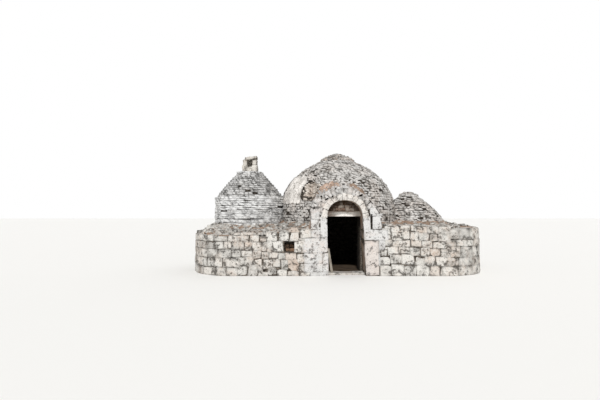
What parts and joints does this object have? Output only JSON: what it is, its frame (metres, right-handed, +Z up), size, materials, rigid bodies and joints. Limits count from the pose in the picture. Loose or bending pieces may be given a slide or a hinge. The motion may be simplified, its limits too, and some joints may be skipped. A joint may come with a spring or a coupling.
{
  "type": "trullo house",
  "caption": "Dry stone trullo house: a domed main room with an arched doorway, a stepped hearth cone with a chimney on the left and a low domed side room on the right.",
  "frame": {"origin": "middle of the footprint's bounding box at ground level", "axes": "+Z up, the doorway faces -Y, the hearth room with the chimney is at -X and the low side room at +X"},
  "size_m": [9.28, 5.2293, 3.98],
  "materials": {
    "wall_limestone": "rough, weathered, dark lichen speckle",
    "dressed_limestone": "hammer-dressed, weathered",
    "infill_rubble": "rough, earth-stained",
    "room_lining": "rough, smoke-darkened",
    "rubble_core": "loose rubble and earth",
    "dome_limestone": "rough, weathered, dark lichen speckle",
    "cone_limestone": "rough, weathered, grey lichen",
    "chimney_limestone": "rough, weathered",
    "lime_plaster": "matt, weathered",
    "weathered_wood": "bare, grey"
  },
  "bodies": {
    "root": {"front_wall_left": "wall_limestone", "front_wall_right": "wall_limestone", "corner_wall_left": "wall_limestone", "corner_wall_right": "wall_limestone", "side_wall_left": "wall_limestone", "side_wall_right": "wall_limestone", "back_wall_left": "wall_limestone", "back_wall_middle": "wall_limestone", "back_wall_right": "wall_limestone", "door_pier_left": "dressed_limestone", "door_pier_right": "dressed_limestone", "portal_gable": "dressed_limestone", "arch_ring": "dressed_limestone", "door_lintel": "dressed_limestone", "inner_lintel": "dressed_limestone", "threshold": "dressed_limestone", "arch_infill": "infill_rubble", "main_room_wall_front_left": "room_lining", "main_room_wall_front_right": "room_lining", "main_room_wall_back_left": "room_lining", "main_room_wall_back_right": "room_lining", "hearth_room_wall": "room_lining", "side_room_wall": "room_lining", "rubble_core_front_left": "rubble_core", "rubble_core_front_right": "rubble_core", "rubble_core_back_left": "rubble_core", "rubble_core_back_right": "rubble_core", "main_dome_lower": "dome_limestone", "main_dome_middle": "dome_limestone", "main_dome_upper": "dome_limestone", "main_dome_crown": "dome_limestone", "side_dome_lower": "dome_limestone", "side_dome_upper": "dome_limestone", "hearth_drum": "cone_limestone", "hearth_cone": "cone_limestone", "hearth_top_slab": "cone_limestone", "chimney_left_stone": "chimney_limestone", "chimney_left_upper_stone": "chimney_limestone", "chimney_right_stone": "chimney_limestone", "chimney_right_upper_stone": "chimney_limestone", "chimney_back_stone": "chimney_limestone", "chimney_sill_stone": "chimney_limestone", "chimney_cap_stone": "chimney_limestone", "lime_coat": "lime_plaster", "old_door_stile": "weathered_wood"}
  },
  "joints": []
}
